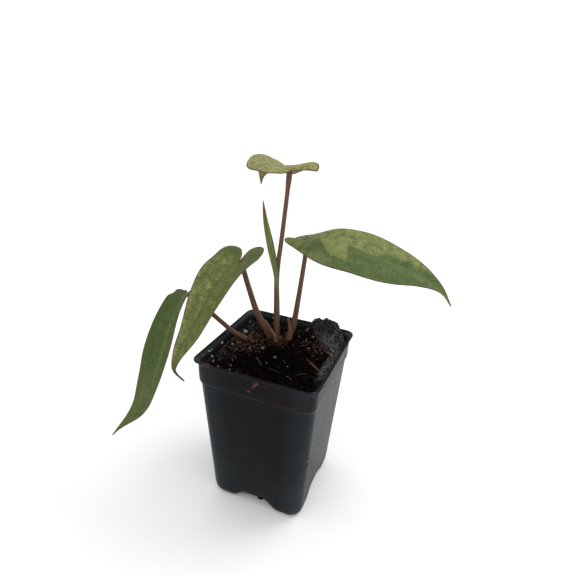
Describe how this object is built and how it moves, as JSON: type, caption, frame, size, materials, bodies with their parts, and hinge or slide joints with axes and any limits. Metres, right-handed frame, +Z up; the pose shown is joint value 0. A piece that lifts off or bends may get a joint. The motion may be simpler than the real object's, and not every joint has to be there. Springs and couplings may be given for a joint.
{
  "type": "potted philodendron",
  "caption": "Young potted philodendron: long arrow-shaped variegated leaves on slender brown petioles and a rolled new leaf, in a square black nursery pot of dark soil.",
  "frame": {"origin": "centre of the pot's underside, on the surface the pot stands on", "axes": "+Z up; the pot's four sides are square to X and Y, and its front face is at -Y"},
  "size_m": [0.2259, 0.161, 0.2444],
  "materials": {
    "pot_plastic": "satin",
    "potting_mix": "matte",
    "stem_bark": "matte",
    "petiole": "satin",
    "dry_sheath": "matte",
    "rolled_leaf": "satin",
    "leaf_right": "satin",
    "leaf_middle": "satin",
    "leaf_left": "satin",
    "leaf_top": "satin"
  },
  "bodies": {
    "root": {"pot": "pot_plastic", "soil": "potting_mix", "crown": "stem_bark", "petiole_right": "petiole", "petiole_middle": "petiole", "petiole_left": "petiole", "petiole_top": "petiole", "blade_right": "leaf_right", "blade_middle": "leaf_middle", "blade_left": "leaf_left", "blade_top": "leaf_top", "rolled_leaf": "rolled_leaf", "sheath_middle": "dry_sheath", "sheath_right": "dry_sheath"}
  },
  "joints": []
}
